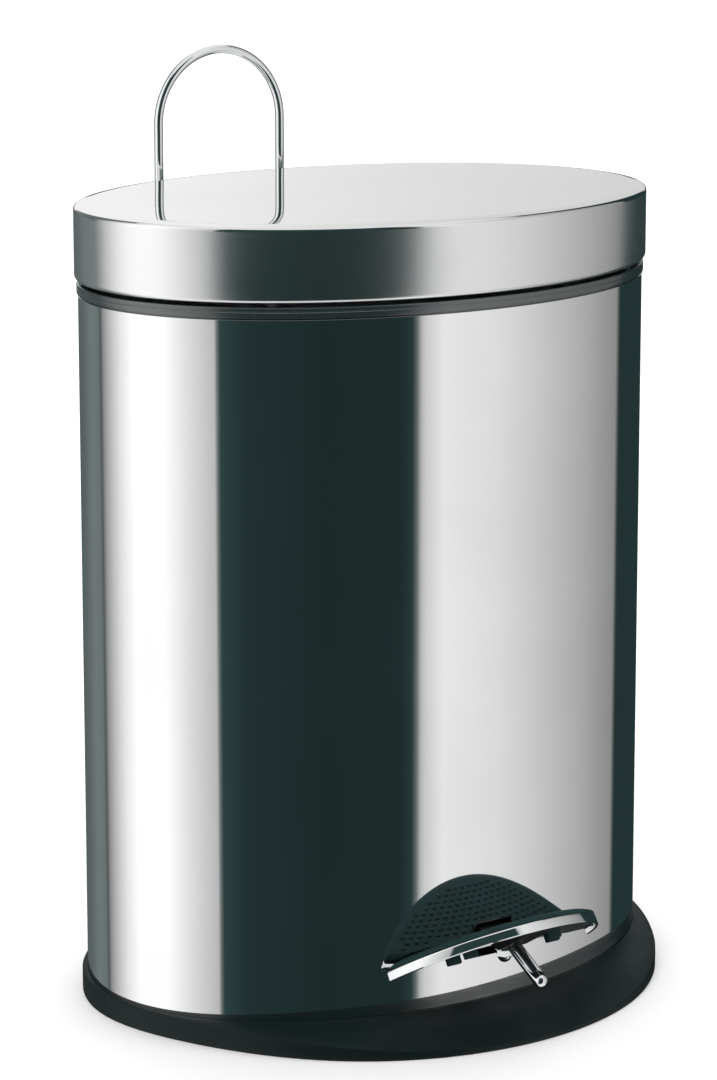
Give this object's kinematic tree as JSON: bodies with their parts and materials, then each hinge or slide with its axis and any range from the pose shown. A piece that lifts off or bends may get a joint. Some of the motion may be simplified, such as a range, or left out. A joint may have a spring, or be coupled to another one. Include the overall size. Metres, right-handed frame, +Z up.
{
  "type": "pedal trash can",
  "caption": "Oval pedal bin: a foot pedal lifts the hinged lid through a lever and push rod; lift-out bucket, folding wire carrying handle, moulded base and rim.",
  "frame": {"origin": "centre of the oval body's footprint, on the flat underside of the base", "axes": "+Z up, +Y towards the lid hinge and the carrying handle at the back, -Y towards the pedal, X across the long width of the oval"},
  "size_m": [0.228, 0.2136, 0.338],
  "materials": {
    "base_plastic": "fine-grained black moulding",
    "pad_rubber": "soft dark grey rubber",
    "mirror_steel": "mirror-polished stainless steel",
    "rim_plastic": "smooth dark grey moulding",
    "bucket_plastic": "plain dark grey moulding",
    "bail_wire": "drawn bright wire",
    "lid_steel": "bright steel with a finely brushed skirt",
    "liner_plastic": "plain black moulding",
    "buffer_rubber": "soft black rubber",
    "hinge_steel": "plain pressed steel",
    "rivet_steel": "plain steel",
    "housing_plastic": "black moulding",
    "pin_steel": "plain steel",
    "screw_steel": "zinc plated steel",
    "handle_steel": "bright plated wire",
    "bracket_steel": "zinc plated sheet",
    "lever_steel": "flat bar with black baked paint",
    "rod_steel": "zinc plated strip",
    "guide_plastic": "plain black moulding",
    "pedal_steel": "mirror-polished steel",
    "pedal_rubber": "black rubber with raised knobs",
    "peg_steel": "bright plated peg",
    "nut_steel": "bright plated cap nut"
  },
  "bodies": {
    "bin": {"base_moulding": "base_plastic", "anti_slip_pads": "pad_rubber", "body_shell": "mirror_steel", "rim_ring": "rim_plastic", "inner_bucket": "bucket_plastic", "bucket_bail": "bail_wire", "hinge_housing": "housing_plastic", "hinge_pin": "pin_steel", "housing_screws": "screw_steel", "pivot_bracket": "bracket_steel", "bracket_screws": "screw_steel", "lever_pivot_pin": "pin_steel", "rod_guide": "guide_plastic"},
    "lid": {"lid_shell": "lid_steel", "lid_liner": "liner_plastic", "lid_buffers": "buffer_rubber", "lid_hinge": "hinge_steel", "lid_rivets": "rivet_steel"},
    "pedal": {"pedal_lever": "lever_steel", "rod_joint_pin": "pin_steel", "pedal_plate": "pedal_steel", "pedal_rubber": "pedal_rubber", "pedal_peg": "peg_steel", "lever_cap_nut": "nut_steel"},
    "rod": {"push_rod": "rod_steel", "crank_pin": "pin_steel"},
    "handle": {"carry_handle": "handle_steel"}
  },
  "joints": [
    {"name": "lid_opening", "type": "hinge", "parent": "bin", "child": "lid", "pos_m": [0, 0.088, 0.284], "axis": [-1, 0, 0], "range_deg": [0, 80]},
    {"name": "pedal_press", "type": "hinge", "parent": "bin", "child": "pedal", "pos_m": [0, -0.05, 0.026], "axis": [1, 0, 0], "range_deg": [0, 10.91]},
    {"name": "rod_pivot", "type": "hinge", "parent": "pedal", "child": "rod", "pos_m": [0, 0.074, 0.01425], "axis": [1, 0, 0], "range_deg": [-10.91, 0]},
    {"name": "handle_swing", "type": "hinge", "parent": "bin", "child": "handle", "pos_m": [0, 0.0985, 0.249], "axis": [-1, 0, 0], "range_deg": [0, 175]}
  ],
  "couplings": [
    {"joint": "pedal_press", "follows": "lid_opening", "ratio": 0.13625},
    {"joint": "rod_pivot", "follows": "lid_opening", "ratio": -0.13625}
  ]
}
